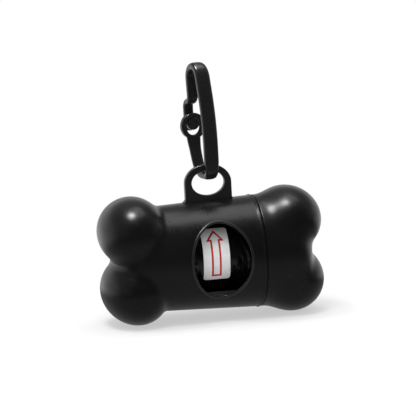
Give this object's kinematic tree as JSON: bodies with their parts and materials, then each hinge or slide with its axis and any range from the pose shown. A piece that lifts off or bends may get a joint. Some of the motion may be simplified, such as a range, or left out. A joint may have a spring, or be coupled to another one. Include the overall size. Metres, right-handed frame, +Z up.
{
  "type": "dog waste bag dispenser",
  "caption": "Bone-shaped black plastic dispenser for rolled dog waste bags, with a twist-off end cap, an oval bag window and a sprung clip through its hanging tab.",
  "frame": {"origin": "centre of the oval eye in the hanging tab, on the axis that the bone swings about on its clip", "axes": "+X along the bone towards the twist cap, +Z up towards the clip, -Y out of the bag window"},
  "size_m": [0.0824, 0.0414, 0.0932],
  "materials": {
    "shell_plastic": "satin, moulded",
    "cap_plastic": "satin, moulded",
    "bag_film": "glossy wrinkled film",
    "core_card": "plain card",
    "label_paper": "smooth white paper with a plain red outlined arrow",
    "clip_plastic": "semi-gloss, moulded"
  },
  "bodies": {
    "clip": {"clip_hook": "clip_plastic"},
    "gate": {"clip_gate": "clip_plastic"},
    "bone": {"body_shell": "shell_plastic"},
    "cap": {"end_cap": "cap_plastic"},
    "roll": {"bag_roll": "bag_film", "roll_core": "core_card", "roll_label": "label_paper"}
  },
  "joints": [
    {"name": "bone_swing", "type": "hinge", "parent": "clip", "child": "bone", "pos_m": [0, 0, 0], "axis": [0, 1, 0], "range_deg": [-85, 85]},
    {"name": "gate_press", "type": "hinge", "parent": "clip", "child": "gate", "pos_m": [-0.0012, 0.00563, 0.00417], "axis": [0.9781, 0.2079, 0], "range_deg": [0, 25], "stiffness_Nm_per_rad": 0.25},
    {"name": "cap_twist", "type": "hinge", "parent": "bone", "child": "cap", "pos_m": [0.0162, 0, -0.0264], "axis": [1, 0, 0], "range_deg": [0, 270]},
    {"name": "roll_spin", "type": "hinge", "parent": "bone", "child": "roll", "pos_m": [0, 0, -0.0264], "axis": [1, 0, 0], "continuous": true}
  ]
}
